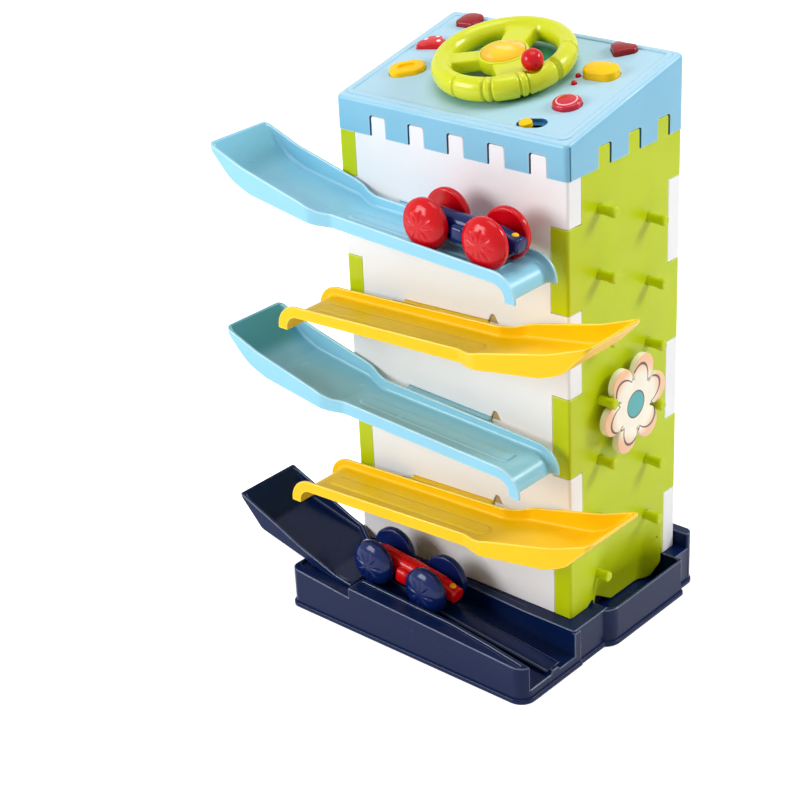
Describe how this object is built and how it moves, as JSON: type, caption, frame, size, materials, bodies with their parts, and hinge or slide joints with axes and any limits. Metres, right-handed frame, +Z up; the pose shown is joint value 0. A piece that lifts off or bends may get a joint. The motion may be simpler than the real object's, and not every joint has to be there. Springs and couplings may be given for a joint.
{
  "type": "toy car ramp",
  "caption": "Free-standing toy tower with zigzag ramps down its front, rolling cars, a peg wall with a tumbler and a sound console with a steering wheel on top.",
  "frame": {"origin": "on the floor, under the middle of the tower, where two ribs under the base cross", "axes": "+Z up; +X to the right of someone facing the ramps; +Y from the ramps to the back panel"},
  "size_m": [0.3817, 0.247, 0.496],
  "materials": {
    "navy_plastic": "moulded, semi-gloss",
    "white_plastic": "moulded, semi-gloss",
    "green_plastic": "moulded, semi-gloss",
    "ramp_blue_plastic": "moulded, gloss",
    "yellow_plastic": "moulded, gloss",
    "lid_blue_plastic": "moulded, semi-gloss",
    "lime_plastic": "moulded, gloss",
    "red_plastic": "moulded, gloss",
    "dark_red_plastic": "moulded, gloss",
    "flower_plastic": "printed plate",
    "lamp_plastic": "clear tinted",
    "board_green": "solder mask",
    "black_plastic": "moulded, matte",
    "screw_steel": "zinc plated",
    "cell_jacket": "printed jacket"
  },
  "bodies": {
    "tower": {"base_shell": "navy_plastic", "front_panel": "white_plastic", "right_panel": "green_plastic", "back_panel": "white_plastic", "left_panel": "green_plastic", "wall_pegs": "green_plastic", "ramp_1_blue": "ramp_blue_plastic", "ramp_2_yellow": "yellow_plastic", "ramp_3_blue": "ramp_blue_plastic", "ramp_4_yellow": "yellow_plastic", "landing_ramp": "navy_plastic", "console_shell": "lid_blue_plastic", "console_floor": "white_plastic", "console_screws": "screw_steel", "circuit_board": "board_green", "board_screws": "screw_steel", "button_switches": "black_plastic", "indicator_lamps": "lamp_plastic", "speaker": "black_plastic", "battery_box": "white_plastic", "battery_cells": "cell_jacket", "battery_contacts": "screw_steel", "back_door_pins": "screw_steel"},
    "steering": {"steering_wheel": "lime_plastic", "steering_retainer": "black_plastic", "spinner_pin": "screw_steel", "horn_contact": "screw_steel"},
    "horn": {"horn_button": "yellow_plastic"},
    "spinner": {"spinner_knob": "red_plastic"},
    "arch_key": {"button_arch": "dark_red_plastic"},
    "car_key": {"button_car": "red_plastic"},
    "ring_key": {"button_ring": "yellow_plastic"},
    "heart_key": {"button_heart": "dark_red_plastic"},
    "bar_key": {"button_bar": "yellow_plastic"},
    "oval_key": {"button_oval": "red_plastic"},
    "slider": {"power_slider": "yellow_plastic"},
    "battery_cover": {"battery_door": "lid_blue_plastic", "battery_door_screw": "screw_steel"},
    "flower": {"tumbler": "flower_plastic"},
    "rear_door": {"back_door": "yellow_plastic"},
    "car_a": {"car_a_body": "navy_plastic", "car_a_chassis": "navy_plastic", "car_a_lamps": "yellow_plastic"},
    "car_a_front": {"car_a_front_axle": "screw_steel", "car_a_front_wheels": "red_plastic"},
    "car_a_rear": {"car_a_rear_axle": "screw_steel", "car_a_rear_wheels": "red_plastic"},
    "car_b": {"car_b_body": "red_plastic", "car_b_chassis": "navy_plastic", "car_b_lamps": "yellow_plastic"},
    "car_b_front": {"car_b_front_axle": "screw_steel", "car_b_front_wheels": "navy_plastic"},
    "car_b_rear": {"car_b_rear_axle": "screw_steel", "car_b_rear_wheels": "navy_plastic"}
  },
  "joints": [
    {"name": "steering_turn", "type": "hinge", "parent": "tower", "child": "steering", "pos_m": [0, 0, 0.463], "axis": [0, -0.2183, 0.9759], "continuous": true},
    {"name": "horn_press", "type": "slide", "parent": "steering", "child": "horn", "axis": [0, -0.2183, 0.9759], "range_m": [-0.0015, 0], "stiffness_N_per_m": 900},
    {"name": "spinner_turn", "type": "hinge", "parent": "steering", "child": "spinner", "pos_m": [0.04135, -0.02036, 0.48509], "axis": [0, -0.2183, 0.9759], "continuous": true},
    {"name": "arch_press", "type": "slide", "parent": "tower", "child": "arch_key", "axis": [0, -0.2183, 0.9759], "range_m": [-0.0015, 0], "stiffness_N_per_m": 900},
    {"name": "car_press", "type": "slide", "parent": "tower", "child": "car_key", "axis": [0, -0.2183, 0.9759], "range_m": [-0.0015, 0], "stiffness_N_per_m": 900},
    {"name": "ring_press", "type": "slide", "parent": "tower", "child": "ring_key", "axis": [0, -0.2183, 0.9759], "range_m": [-0.0015, 0], "stiffness_N_per_m": 900},
    {"name": "heart_press", "type": "slide", "parent": "tower", "child": "heart_key", "axis": [0, -0.2183, 0.9759], "range_m": [-0.0015, 0], "stiffness_N_per_m": 900},
    {"name": "bar_press", "type": "slide", "parent": "tower", "child": "bar_key", "axis": [0, -0.2183, 0.9759], "range_m": [-0.0015, 0], "stiffness_N_per_m": 900},
    {"name": "oval_press", "type": "slide", "parent": "tower", "child": "oval_key", "axis": [0, -0.2183, 0.9759], "range_m": [-0.0015, 0], "stiffness_N_per_m": 900},
    {"name": "slider_move", "type": "slide", "parent": "tower", "child": "slider", "axis": [0.9397, 0.3338, 0.0747], "range_m": [0, 0.01]},
    {"name": "battery_cover_off", "type": "slide", "parent": "tower", "child": "battery_cover", "axis": [0, 1, 0], "range_m": [0, 0.02]},
    {"name": "flower_off", "type": "slide", "parent": "tower", "child": "flower", "axis": [1, 0, 0], "range_m": [0, 0.02]},
    {"name": "rear_door_swing", "type": "hinge", "parent": "tower", "child": "rear_door", "pos_m": [0, 0.071, 0.067], "axis": [-1, 0, 0], "range_deg": [0, 125]},
    {"name": "car_a_roll", "type": "slide", "parent": "tower", "child": "car_a", "axis": [0.9989, 0, -0.0469], "range_m": [-0.08, 0.012]},
    {"name": "car_b_roll", "type": "slide", "parent": "tower", "child": "car_b", "axis": [0.9929, 0, -0.1191], "range_m": [-0.008, 0.11]},
    {"name": "car_a_front_spin", "type": "hinge", "parent": "car_a", "child": "car_a_front", "pos_m": [0.07695, -0.113, 0.37748], "axis": [0, 1, 0], "continuous": true},
    {"name": "car_a_rear_spin", "type": "hinge", "parent": "car_a", "child": "car_a_rear", "pos_m": [0.01902, -0.113, 0.38021], "axis": [0, 1, 0], "continuous": true},
    {"name": "car_b_front_spin", "type": "hinge", "parent": "car_b", "child": "car_b_front", "pos_m": [0.0033, -0.1145, 0.04793], "axis": [0, 1, 0], "continuous": true},
    {"name": "car_b_rear_spin", "type": "hinge", "parent": "car_b", "child": "car_b_rear", "pos_m": [-0.05429, -0.1145, 0.05485], "axis": [0, 1, 0], "continuous": true}
  ]
}
